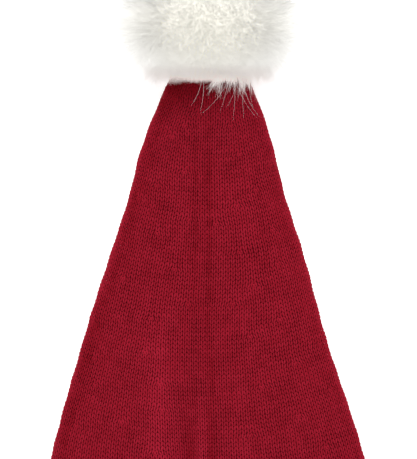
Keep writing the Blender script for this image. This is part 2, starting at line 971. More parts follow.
@dataclass(frozen=True)
class YarnFinish:
    """Matt wool-like yarn: two colours that its tone runs between, its relief and its sheen."""

    name: str
    dark: tuple[float, float, float]
    light: tuple[float, float, float]
    relief: Relief = Relief.TWIST
    relief_depth: float = 0.00012
    fuzz_depth: float = 0.00008
    sheen: float = 0.07
    sheen_tint: tuple[float, float, float] = (1.0, 0.12, 0.16)
    sheen_roughness: float = 0.45
    roughness: float = 0.92
    specular: float = 0.015
    patchiness: float = 0.25
    dark_at: float = 0.0

    def build(self, groups: Groups) -> Material:
        """Makes the material.

        Args:
            groups: The shared node groups.

        Returns:
            The material.
        """
        made, tree, shader = new_material(self.name)
        fuzz = tree.add("ShaderNodeGroup", node_tree=groups.fuzz).outputs
        shape = tree.add("ShaderNodeGroup", node_tree=getattr(groups, self.relief.value)).outputs
        stitch = tree.value("ShaderNodeAttribute", out="Fac", attribute_name="tone")
        slow = tree.math("SUBTRACT", fuzz["Tone"], 0.5)
        tone = tree.math("ADD", stitch, tree.math("MULTIPLY", slow, self.patchiness))
        low = {"Strength": 1.0, "Distance": self.relief_depth, "Height": shape["Height"]}
        fine = {"Strength": 1.0, "Distance": self.fuzz_depth, "Height": fuzz["Height"]}
        fine["Normal"] = tree.value("ShaderNodeBump", low)
        looks = {
            "Roughness": self.roughness,
            "Specular IOR Level": self.specular,
            "Sheen Weight": self.sheen,
            "Sheen Roughness": self.sheen_roughness,
            "Sheen Tint": (*self.sheen_tint, 1.0),
            "Base Color": tree.blend(tree.ramp(tone, self.dark_at, 1.0), self.dark, self.light),
            "Normal": tree.value("ShaderNodeBump", fine),
        }
        tree.feed(shader, looks)
        return made


@dataclass(frozen=True)
class FurFinish:
    """Soft pale fur that shades as one ball.

    Its colour runs from root to tip, turns to cream in its upward middle, to blush by the knit and
    to dusk on its far side. The small glow stands for light that passes from hair to hair.
    """

    name: str
    root: tuple[float, float, float]
    tip: tuple[float, float, float]
    cream: tuple[float, float, float]
    blush: tuple[float, float, float]
    dusk: tuple[float, float, float]
    centre: tuple[float, float, float]
    halves: tuple[float, float, float]
    softness: float
    root_glow: float = 0.0
    tip_glow: float = 0.0
    glow_lost_above: float = 0.0
    glow_lost_behind: float = 0.0
    front_glow: float = 0.0
    edge_glow: float = 0.0
    patchiness: float = 0.8
    sheen: float = 0.3
    sheen_roughness: float = 0.5
    roughness: float = 0.7
    specular: float = 0.15

    def build(self, groups: Groups) -> Material:
        """Makes the material.

        Args:
            groups: The shared node groups.

        Returns:
            The material.
        """
        made, tree, shader = new_material(self.name)
        along = uv_sides(tree, "Yarn")[0]
        hair = tree.value("ShaderNodeAttribute", out="Fac", attribute_name="tone")
        fuzz = tree.add("ShaderNodeGroup", node_tree=groups.fuzz).outputs
        tone = tree.math("ADD", along, tree.math("SUBTRACT", hair, 0.5))
        patch = tree.math("MULTIPLY", tree.math("SUBTRACT", fuzz["Tone"], 0.5), self.patchiness)
        colour = tree.blend(tree.math("ADD", tone, patch), self.root, self.tip)
        given = {"Centre": self.centre, "Halves": self.halves, "Softness": self.softness}
        fluff = tree.add("ShaderNodeGroup", given, node_tree=groups.fluff).outputs
        tints = {"Up": self.cream, "Knit Edge": self.blush, "Far Side": self.dusk}
        for mask, tint in tints.items():
            colour = tree.blend(fluff[mask], colour, tint)
        share = tree.value("ShaderNodeMapRange", {0: along, 3: self.root_glow, 4: self.tip_glow})
        for mask, lost in (("Up", self.glow_lost_above), ("Far Side", self.glow_lost_behind)):
            less = tree.math("MULTIPLY", fluff[mask], lost)
            share = tree.math("MULTIPLY", share, tree.math("SUBTRACT", 1.0, less))
        for mask, more in (("Front", self.front_glow), ("Knit Edge", self.edge_glow)):
            share = tree.math("MULTIPLY_ADD", fluff[mask], more, share)
        looks = {
            "Roughness": self.roughness,
            "Specular IOR Level": self.specular,
            "Sheen Weight": self.sheen,
            "Sheen Roughness": self.sheen_roughness,
            "Base Color": colour,
            "Emission Color": tree.vector("SCALE", colour, share),
            "Emission Strength": 1.0,
            "Normal": fluff["Normal"],
        }
        tree.feed(shader, looks)
        return made


# The knitted crown


@dataclass(frozen=True)
class LegRow:
    """One cross-section of a stitch's leg.

    along: share of the course pitch from the stitch's middle. across: share of the wale pitch from
    the stitch's middle line. height, thick: shares of the yarn's half thickness. wide: half width,
    as a share of the wale pitch.
    """

    along: float
    across: float
    height: float
    wide: float
    thick: float


@dataclass(frozen=True)
class StitchShape:
    """One V of plain knit: two legs of yarn that meet at their feet and lean apart."""

    wale: float
    course: float
    half_thickness: float
    rows: tuple[LegRow, ...]
    profile: tuple[tuple[float, float], ...] = ((-1.0, -0.5), (-0.5, 0.9), (0.5, 0.9), (1.0, -0.5))

    def leg(self, side: float) -> tuple[np.ndarray, list, list]:
        """The vertices, faces and UV places of one leg.

        Args:
            side: 1 for the leg on the +X side, -1 for the other.

        Returns:
            Its points, its faces and a UV place for each corner of each face.
        """
        count = len(self.profile)
        first, *inner, last = self.rows
        points = [(side * first.across * self.wale, first.along * self.course, self.lift(first))]
        for row in inner:
            for sideways, up in self.profile:
                x = side * (row.across + sideways * row.wide) * self.wale
                z = self.lift(row) + up * row.thick * self.half_thickness
                points.append((x, row.along * self.course, z))
        points.append((side * last.across * self.wale, last.along * self.course, self.lift(last)))
        end = len(points) - 1
        faces, places = [], []
        steps = len(self.rows) - 1
        for j in range(count):
            k = (j + 1) % count
            faces.append((0, 1 + j, 1 + k))
            left, middle, right = j / count, (j + 0.5) / count, (j + 1) / count
            places += [(0.0, middle), (1 / steps, left), (1 / steps, right)]
            for i in range(len(inner) - 1):
                low, high = 1 + i * count, 1 + (i + 1) * count
                faces.append((low + j, high + j, high + k, low + k))
                near, far = (i + 1) / steps, (i + 2) / steps
                places += [(near, left), (far, left), (far, right), (near, right)]
            top = 1 + (len(inner) - 1) * count
            faces.append((top + j, end, top + k))
            near = 1.0 - 1.0 / steps
            places += [(near, left), (1.0, middle), (near, right)]
        return np.array(points), faces, places

    def lift(self, row: LegRow) -> float:
        """The height of a row's middle."""
        return row.height * self.half_thickness

    def build(self, name: str) -> Object:
        """The stitch as an object to repeat.

        Args:
            name: The object's name.

        Returns:
            The object.
        """
        points, faces, places = self.leg(1.0)
        others, other_faces, other_places = self.leg(-1.0)
        shifted = [tuple(i + len(points) for i in f) for f in other_faces]
        obj = mesh_object(name, np.concatenate((points, others)), faces + shifted)
        add_uv(obj.data, "Yarn", np.array(places + other_places))
        face_outwards(obj)
        return obj


FRONT_LEG = (
    LegRow(-0.80, 0.05, -0.70, 0.00, 0.0),
    LegRow(-0.40, 0.16, 0.05, 0.21, 0.8),
    LegRow(0.05, 0.265, 0.30, 0.255, 1.0),
    LegRow(0.42, 0.32, 0.05, 0.20, 0.9),
    LegRow(0.80, 0.26, -0.95, 0.00, 0.0),
)
BACK_LEG = (
    LegRow(-0.80, 0.05, -0.60, 0.00, 0.0),
    LegRow(-0.25, 0.16, 0.15, 0.23, 0.9),
    LegRow(0.35, 0.28, 0.15, 0.24, 0.9),
    LegRow(0.85, 0.24, -0.70, 0.00, 0.0),
)


STITCH_VALUES = ("face", "ahead", "fit", "shade")


@dataclass
class Fabric:
    """The knit laid over the crown: where each course and wale of stitches runs.

    A course is a row of stitches round the crown, counted from the outermost line of the hem: the
    courses below 0 are turned up inside. A share is a place round a course: 0 at the +X folded
    edge, 1 at the middle of the upper layer, 2 at the -X edge and 3 at the middle of the underside.
    """

    form: CrownForm
    wale: float = 0.00343
    course: float = 0.00294
    sunk: float = 0.00055
    fan: float = 0.27
    fan_full_at: float = 0.35
    quarter_steps: int = 48
    relax: float = 0.5
    relax_rounds: int = 14
    line_steps: int = 600
    arc_steps: int = 90
    fewest: int = 4
    merge_margin: float = 0.06
    merge_drift: float = 0.12
    seed: int = 11

    def __post_init__(self) -> None:
        """Measures the crown's surface."""
        self.roll = self.form.hem_wall / 2.0
        self.quarter_roll = self.roll * math.pi / 2.0
        self.brim = self.roll / self.form.length
        along = np.linspace(self.brim, 1.0, self.line_steps)
        ones = np.ones(self.line_steps)
        line = self.form.surface(along, ones * math.pi / 2.0, ones * self.sunk)
        steps = np.linalg.norm(np.diff(line, axis=0), axis=1)
        self.line_along = along
        self.line_length = np.concatenate(([0.0], np.cumsum(steps)))
        outside = self.quarter_roll + self.line_length[-1]
        inside = self.quarter_roll + self.form.hem_depth - self.roll
        self.first = -int(inside / self.course)
        self.last = int(outside / self.course) - 1
        self.courses = np.arange(self.first, self.last + 2)
        self.measure()

    def line(self, path: np.ndarray, sunk: float) -> tuple[np.ndarray, np.ndarray]:
        """Places on the crown's middle line, from lengths of fabric past the hem's edge.

        Args:
            path: Lengths along the fabric, below 0 for what is turned up inside.
            sunk: How deep below the fabric's face.

        Returns:
            Shares of the crown's length, and insets from its outer face.
        """
        turn = np.clip(path / self.roll, -math.pi / 2.0, math.pi / 2.0)
        inset = self.roll - (self.roll - sunk) * np.sin(turn)
        back = (self.roll - (self.roll - sunk) * np.cos(turn)) / self.form.length
        beyond = np.maximum(np.abs(path) - self.quarter_roll, 0.0)
        outer = np.interp(beyond, self.line_length, self.line_along) - self.brim
        along = back + np.where(path > 0.0, outer, beyond / self.form.length)
        return along, inset

    def measure(self) -> None:
        """Finds the angle round the section for each share of each course, by arc length."""
        arc = self.arc_steps
        turns = np.linspace(0.0, 2.0 * math.pi, 4 * arc + 1)
        self.turns, self.quarters = [], []
        for course in self.courses:
            along, inset = self.line(np.array(course * self.course), self.sunk)
            ones = np.ones(len(turns))
            points = self.form.surface(ones * along, turns, ones * inset)
            steps = np.linalg.norm(np.diff(points, axis=0), axis=1)
            lengths = np.concatenate(([0.0], np.cumsum(steps)))
            row, sizes = [], []
            for quarter in range(4):
                low, high = lengths[quarter * arc], lengths[(quarter + 1) * arc]
                wanted = np.linspace(low, high, self.quarter_steps, endpoint=False)
                row.append(np.interp(wanted, lengths, turns))
                sizes.append(high - low)
            self.turns.append(np.concatenate((*row, [2.0 * math.pi])))
            self.quarters.append(sizes)
        self.turns = np.array(self.turns)

    def place(self, course: np.ndarray, share: np.ndarray, sunk: float) -> np.ndarray:
        """Points of the fabric.

        Args:
            course: Courses, which may lie between two rows.
            share: Shares round the crown, from 0 to 4.
            sunk: How deep below the fabric's face.

        Returns:
            The points.
        """
        row = np.clip(course - self.first, 0.0, len(self.courses) - 1.001)
        column = np.mod(share, 4.0) * self.quarter_steps
        i, j = row.astype(int), np.minimum(column.astype(int), 4 * self.quarter_steps - 1)
        u, v = row - i, column - j
        low = self.turns[i, j] * (1.0 - v) + self.turns[i, j + 1] * v
        high = self.turns[i + 1, j] * (1.0 - v) + self.turns[i + 1, j + 1] * v
        turn = low * (1.0 - u) + high * u
        along, inset = self.line(course * self.course, sunk)
        fan = self.fan * np.minimum(1.0, np.maximum(along, 0.0) / self.fan_full_at)
        rise = self.form.half_width(along) * np.cos(turn) ** 2 * fan / 2.0
        along = np.minimum(along + rise / self.form.length, 0.999)
        return self.form.surface(along, turn, inset)

    def wales(self) -> list[tuple[np.ndarray, np.ndarray]]:
        """Where the stitches of each course sit.

        A wale ends where the crown narrows: two neighbours become one, and those beside them
        spread out again over the next courses.

        Returns:
            For each course, the shares of its stitches and the shares that they go on to.
        """
        chance = np.random.default_rng(self.seed)
        golden = (math.sqrt(5.0) - 1.0) / 2.0
        steps = chance.random(4)
        counts = [round(size / self.wale) for size in self.quarters[0]]
        rows = [(np.arange(n) + 0.5) / n for n in counts]
        found = []
        for k in range(len(self.courses) - 1):
            here, there, nexts = [], [], []
            for quarter in range(4):
                spots = rows[quarter]
                wanted = round(self.quarters[k + 1][quarter] / self.wale)
                owner = np.arange(len(spots))
                after = spots
                if wanted < len(spots) and len(spots) > self.fewest:
                    steps[quarter] += golden + self.merge_drift * chance.normal()
                    share = steps[quarter] % 1.0
                    share = self.merge_margin + (1.0 - 2.0 * self.merge_margin) * share
                    gone = int(share * (len(spots) - 1))
                    merged = (spots[gone] + spots[gone + 1]) / 2.0
                    after = np.concatenate((spots[:gone], [merged], spots[gone + 2 :]))
                    owner = np.where(owner > gone, owner - 1, owner)
                for _ in range(self.relax_rounds):
                    padded = np.concatenate(([-after[0]], after, [2.0 - after[-1]]))
                    after = after + self.relax * ((padded[:-2] + padded[2:]) / 2.0 - after)
                here.append(spots + quarter)
                there.append(after[owner] + quarter)
                nexts.append(after)
            found.append((np.concatenate(here), np.concatenate(there)))
            rows = nexts
        return found

    def carrier(self, name: str, courses: range, layer: Layer | None) -> Object:
        """A point for each stitch of some courses, with the way that it faces and its size.

        Args:
            name: The carrier's name.
            courses: The courses to take.
            layer: The layer to take, or None for both.

        Returns:
            An object of bare points.
        """
        found = []
        for course, (share, target) in zip(self.courses, self.wales()):
            if course not in courses:
                continue
            before = np.concatenate(([share[-1] - 4.0], share[:-1]))
            after = np.concatenate((share[1:], [share[0] + 4.0]))
            row = np.full(len(share), float(course))
            sides = (before + share) / 2.0, (share + after) / 2.0
            keep = np.isin(share.astype(int), layer.value) if layer else slice(None)
            found.append(np.stack((row, share, target, *sides))[:, keep])
        row, share, target, left, right = np.concatenate(found, axis=1)
        spot = self.place(row, share, self.sunk)
        ahead = self.place(row + 1.0, target, self.sunk) - spot
        across = self.place(row, right, self.sunk) - self.place(row, left, self.sunk)
        middle = spot + ahead * 0.5
        wide = np.linalg.norm(across, axis=1) / self.wale
        long = np.linalg.norm(ahead, axis=1) / self.course
        upper = np.isin(share.astype(int), Layer.FRONT.value) & (row >= 0.0)
        obj = mesh_object(name, middle)
        values = (
            unit(np.cross(ahead, across)),
            unit(ahead),
            np.stack((wide, long, np.ones(len(row))), axis=1),
            np.where(upper, self.form.tone(middle), 0.0),
        )
        for attribute, value in zip(STITCH_VALUES, values):
            add_attribute(obj.data, attribute, value)
        return obj


def stitch_tree() -> Tree:
    """Geometry Nodes that set one stitch on each point, turned and fitted to the fabric.

    Returns:
        The tree.
    """
    inputs = {
        "Stitch": "Object",
        "Unevenness": 0.07,
        "Looseness": 0.30,
        "Looseness Fineness": 70.0,
        "Tilt": 0.045,
        "Tone Low": 0.38,
        "Tone High": 0.66,
        "Floor Gap": 0.0,
        "Seed": 5,
        "Yarn": "Material",
    }
    tree, given = geometry_tree("knit_stitches", inputs)
    seed, vector = given["Seed"], "FLOAT_VECTOR"
    tilt = tree.chance(vector, (-1.0, -1.0, -1.0), (1.0, 1.0, 1.0), seed, 0.0)
    tilt = tree.vector("SCALE", tilt, given["Tilt"])
    turn = {
        "Rotation": tree.facing(tree.named("face", vector), tree.named("ahead", vector)),
        "Rotate By": tree.value("FunctionNodeEulerToRotation", {"Euler": tilt}),
    }
    turn = tree.value("FunctionNodeRotateRotation", turn, rotation_space="LOCAL")
    least = tree.math("SUBTRACT", 1.0, given["Unevenness"])
    most = tree.math("ADD", 1.0, given["Unevenness"])
    uneven = tree.chance("FLOAT", least, most, seed, 1.0)
    patches = {"Scale": given["Looseness Fineness"], "Detail": 1.0}
    slack = tree.math("SUBTRACT", tree.value("ShaderNodeTexNoise", patches), 0.5)
    slack = tree.math("MULTIPLY", slack, given["Looseness"])
    size = tree.vector("SCALE", tree.named("fit", vector), tree.math("ADD", uneven, slack))
    tone = tree.chance("FLOAT", given["Tone Low"], given["Tone High"], seed, 2.0)
    tone = tree.math("ADD", tone, tree.named("shade"))
    stitches = tree.repeat(given["Geometry"], given["Stitch"], turn, size, tone)
    finish_tree(tree, kept_clear(tree, stitches, {"Z": given["Floor Gap"]}), given["Yarn"])
    return tree


@dataclass
class Crown:
    """The knitted cone: a wall with its hem turned up inside, and stitches all over it."""

    form: CrownForm
    fabric: Fabric
    finish: YarnFinish
    wall_finish: YarnFinish
    wall_sunk: float = 0.00095
    sides: int = 132
    outer_rows: int = 50
    inner_rows: int = 26
    gather_rows: int = 6
    hem_rows_inside: int = 9
    hem_rows_outside: int = 3
    split_course: int = 46
    yarn_half_thickness: float = 0.00048

    def build(self, groups: Groups, inventory: Inventory) -> None:
        """Makes the wall and the stitches.

        Args:
            groups: The shared node groups.
            inventory: Takes the finished pieces.
        """
        wall = self.build_wall()
        wall.data.materials.append(self.wall_finish.build(groups))
        inventory.take(wall, Slot.KNIT, "crown")
        tree, yarn, fabric = stitch_tree(), self.finish.build(groups), self.fabric
        gauge = (fabric.wale, fabric.course, self.yarn_half_thickness)
        front = StitchShape(*gauge, FRONT_LEG).build("front_stitch")
        back = StitchShape(*gauge, BACK_LEG).build("back_stitch")
        lower, upper = range(0, self.split_course), range(self.split_course, fabric.last + 1)
        parts = {
            "crown_knit_front_lower": (lower, Layer.FRONT, front),
            "crown_knit_front_upper": (upper, Layer.FRONT, front),
            "crown_knit_back_lower": (lower, Layer.BACK, back),
            "crown_knit_back_upper": (upper, Layer.BACK, back),
            "crown_knit_turned_hem": (range(fabric.first, 0), None, back),
        }
        for name, (courses, layer, stitch) in parts.items():
            carrier = fabric.carrier(name + "_points", courses, layer)
            inputs = {"Stitch": stitch, "Yarn": yarn}
            inventory.take(grow(name, carrier, tree, inputs, STITCH_VALUES), Slot.KNIT)
        discard(front, back)

    def build_wall(self) -> Object:
        """The wall behind the stitches: up outside, in at the tip and down inside.

        Returns:
            The wall, one closed form.
        """
        form, fabric = self.form, self.fabric
        turns = np.linspace(0.0, 2.0 * math.pi, self.sides, endpoint=False)
        ones = np.ones(self.sides)
        rings = []

        def add(along: float, inset: float) -> None:
            """One ring of the wall."""
            rings.append(form.surface(ones * along, turns, ones * inset))

        hem_top = form.hem_depth / form.length
        turned_up = fabric.quarter_roll + form.hem_depth - fabric.roll
        inside = np.linspace(-turned_up, 0.0, self.hem_rows_inside)
        step = fabric.quarter_roll / self.hem_rows_outside
        outside = np.linspace(step, fabric.quarter_roll, self.hem_rows_outside)
        for path in (*inside, *outside):
            add(*map(float, fabric.line(np.array(path), self.wall_sunk)))
        start = form.gather_start
        for along in np.linspace(fabric.brim, start, self.outer_rows)[1:]:
            add(along, self.wall_sunk)
        steps = (np.arange(self.gather_rows) + 1) / self.gather_rows
        for step in steps:
            add(start + (1.0 - start) * step, self.wall_sunk)
        hole = np.stack((np.cos(turns), 0.0 * turns, np.sin(turns)), axis=1)
        for inset in (self.wall_sunk, form.wall):
            rings.append(form.tip - np.array((0.0, inset, 0.0)) + form.hole_radius * hole)
        for step in steps[::-1]:
            add(start + (1.0 - start) * step, form.wall)
        first = hem_top + (form.hem_wall - form.wall) / form.length
        for along in np.linspace(start, first, self.inner_rows):
            add(along, form.wall)
        add(hem_top, form.hem_wall - fabric.sunk)
        points = np.concatenate(rings)
        faces = ring_faces(len(rings), self.sides, closed=True)
        obj = mesh_object("crown_wall", points, faces)
        lengths = [0.0]
        for low, high in zip(rings, rings[1:]):
            lengths.append(lengths[-1] + float(np.linalg.norm(high - low, axis=1).mean()))
        places = []
        for face in faces:
            for corner in face:
                ring, side = divmod(corner, self.sides)
                wide = form.value("width", (rings[ring][0][1] - form.hem_y) / form.length)
                places.append((side / self.sides * 2.0 * form.hem_width * wide, lengths[ring]))
        add_uv(obj.data, "Fabric", np.array(places))
        set_even_tone(obj.data)
        face_outwards(obj)
        return obj


# The fur pompom


@dataclass(frozen=True)
class HairShape:
    """One hair: a thin tapered prism that bends towards its own +Y."""

    length: float
    radius: float
    bend: float
    rings: int
    sides: int = 3
    taper: float = 0.6

    def build(self, name: str) -> Object:
        """The hair as an object to repeat, closed at its root and its tip.

        Args:
            name: The object's name.

        Returns:
            The object.
        """
        points, places = [], []
        for i in range(self.rings):
            t = i / self.rings
            size = self.radius * (1.0 - t) ** self.taper
            for j in range(self.sides):
                turn = math.tau * j / self.sides
                x, y = size * math.cos(turn), size * math.sin(turn)
                points.append((x, y + self.bend * self.length * t * t, self.length * t))
                places.append((t, j / self.sides))
        points.append((0.0, self.bend * self.length, self.length))
        places.append((1.0, 0.5))
        tip = len(points) - 1
        faces = ring_faces(self.rings, self.sides)
        top = (self.rings - 1) * self.sides
        faces += [(top + j, tip, top + (j + 1) % self.sides) for j in range(self.sides)]
        faces.append(tuple(range(self.sides)))
        obj = mesh_object(name, np.array(points), faces)
        add_uv(obj.data, "Yarn", np.array([places[c] for face in faces for c in face]))
        face_outwards(obj)
        return obj


SCALP_VALUES = ("cover", "fur_length", "room", "ends", "pull", "locks")
HAIR_TONES = (0.2, 0.8)
BENDS_DOWN = (0.0, 0.0, -0.8)
THINNEST_TIP = 0.02


def fur_tree() -> Tree:
    """Geometry Nodes that grow hairs on a scalp: combed, shaken, hanging and clear of the floor.

    Returns:
        The tree.
    """
    inputs = {
        "Hair": "Object",
        "Hair Length": 0.02,
        "Density": 1.0e6,
        "Root Depth": 0.001,
        "Comb": 0.5,
        "Comb Fineness": 60.0,
        "Shake": 0.25,
        "Droop": 0.2,
        "Shortest": 0.7,
        "Longest": 1.0,
        "Floor Gap": 0.0006,
        "Seed": 3,
        "Fur": "Material",
    }
    tree, given = geometry_tree("pompom_fur", inputs)
    seed, vector, low, high = given["Seed"], "FLOAT_VECTOR", (-1.0, -1.0, -1.0), (1.0, 1.0, 1.0)
    density = tree.math("MULTIPLY", tree.named("cover"), given["Density"])
    roots = {"Mesh": given["Geometry"], "Density": density, "Seed": seed}
    roots = tree.add("GeometryNodeDistributePointsOnFaces", roots).outputs
    normal = socket(roots, "Normal")
    swirls = {"Scale": given["Comb Fineness"], "Detail": 1.0}
    swirls["Vector"] = tree.value("GeometryNodeInputPosition")
    swirls = tree.value("ShaderNodeTexNoise", swirls, out="Color")
    comb = tree.vector("SCALE", tree.vector("SUBTRACT", swirls, (0.5, 0.5, 0.5)), given["Comb"])
    comb = tree.vector("SCALE", comb, tree.named("locks"))
    shake = tree.vector("SCALE", tree.chance(vector, low, high, seed, 1.0), given["Shake"])
    down = tree.value("ShaderNodeCombineXYZ", {"Z": tree.math("MULTIPLY", given["Droop"], -1.0)})
    way = tree.vector("ADD", tree.vector("ADD", normal, comb), tree.vector("ADD", shake, down))
    way = tree.vector("ADD", way, tree.named("pull", vector))
    roll = tree.vector("ADD", tree.chance(vector, low, high, seed, 2.0), comb)
    roll = tree.vector("ADD", roll, BENDS_DOWN)
    length = tree.chance("FLOAT", given["Shortest"], given["Longest"], seed, 3.0)
    length = tree.math("MULTIPLY", length, tree.named("fur_length"))
    room = tree.math("DIVIDE", tree.named("room"), given["Hair Length"])
    length = tree.math("MINIMUM", length, room)
    size = tree.value("ShaderNodeCombineXYZ", {"X": 1.0, "Y": length, "Z": length})
    deep = tree.vector("SCALE", normal, tree.math("MULTIPLY", given["Root Depth"], -1.0))
    sunk = {"Geometry": socket(roots, "Points"), "Offset": deep}
    sunk = tree.value("GeometryNodeSetPosition", sunk)
    turn = tree.facing(tree.vector("NORMALIZE", way), roll)
    tone = tree.chance("FLOAT", *HAIR_TONES, seed, 4.0)
    hairs = tree.repeat(sunk, given["Hair"], turn, size, tone)
    limits = {"Y": tree.named("ends"), "Z": given["Floor Gap"]}
    finish_tree(tree, kept_clear(tree, hairs, limits), given["Fur"])
    return tree


def strand_tree() -> Tree:
    """Geometry Nodes that turn drawn lines into thin tapered hairs.

    Returns:
        The tree.
    """
    inputs = {"Radius": 0.0001, "Sides": 3, "Tone": 0.9, "Fur": "Material"}
    tree, given = geometry_tree("loose_hairs", inputs)
    lines = tree.value("GeometryNodeMeshToCurve", {"Mesh": given["Geometry"]})
    left = tree.math("SUBTRACT", 1.0, tree.value("GeometryNodeSplineParameter", out="Factor"))
    taper = tree.math("POWER", tree.math("MAXIMUM", left, THINNEST_TIP), 0.5)
    size = tree.math("MULTIPLY", taper, tree.named("thick"))
    size = tree.math("MULTIPLY", size, given["Radius"])
    thick = tree.value("GeometryNodeSetCurveRadius", {"Curve": lines, "Radius": size})
    ring = {"Resolution": given["Sides"], "Radius": 1.0}
    ring = tree.value("GeometryNodeCurvePrimitiveCircle", ring, out="Curve")
    tube = {"Curve": thick, "Profile Curve": ring, "Fill Caps": True}
    tube["Scale"] = tree.value("GeometryNodeInputRadius")
    tubes = tree.value("GeometryNodeCurveToMesh", tube, out="Mesh")
    finish_tree(tree, tree.toned(tubes, given["Tone"], "POINT"), given["Fur"])
    return tree


@dataclass(frozen=True)
class Coat:
    """One layer of the pompom's fur."""

    name: str
    hair: HairShape
    count: int
    comb: float
    shake: float
    droop: float
    shortest: float
    seed: int


@dataclass(frozen=True)
class Wisp:
    """Hairs that leave the fur together: where, which way, how curled, how long and how high."""

    x: float
    y: float
    heading: float
    curl: float
    length: float
    lift: float = 0.0015
    steps: int = 8
    thick: float = 0.65


@dataclass(frozen=True)
class WispField:
    """The chance wisps at the fur's lower edge: how many, where, which way and how they vary."""

    count: int = 36
    left: float = 0.004
    width: float = 0.0305
    y: float = 0.1420
    depth: float = 0.003
    left_heading: float = -1.95
    fan: float = 0.75
    heading_spread: float = 0.2
    curl_spread: float = 14.0
    lengths: tuple[float, float] = (0.008, 0.0185)
    lifts: tuple[float, float] = (0.002, 0.005)
    steps: int = 5
    thick: float = 0.7
    hairs: tuple[int, int] = (7, 15)
    hairs_apart: float = 0.0015
    hair_shares: tuple[float, float] = (0.4, 1.0)

    def wisp(self, chance: np.random.Generator) -> Wisp:
        """Draws one wisp.

        Args:
            chance: The source of chance.

        Returns:
            The wisp.
        """
        right = chance.uniform(0.0, 1.0)
        return Wisp(
            x=self.left + self.width * right,
            y=self.y - self.depth * chance.random(),
            heading=self.left_heading + self.fan * right + chance.normal(0.0, self.heading_spread),
            curl=chance.normal(0.0, self.curl_spread),
            length=chance.uniform(*self.lengths),
            lift=chance.uniform(*self.lifts),
            steps=self.steps,
            thick=self.thick,
        )


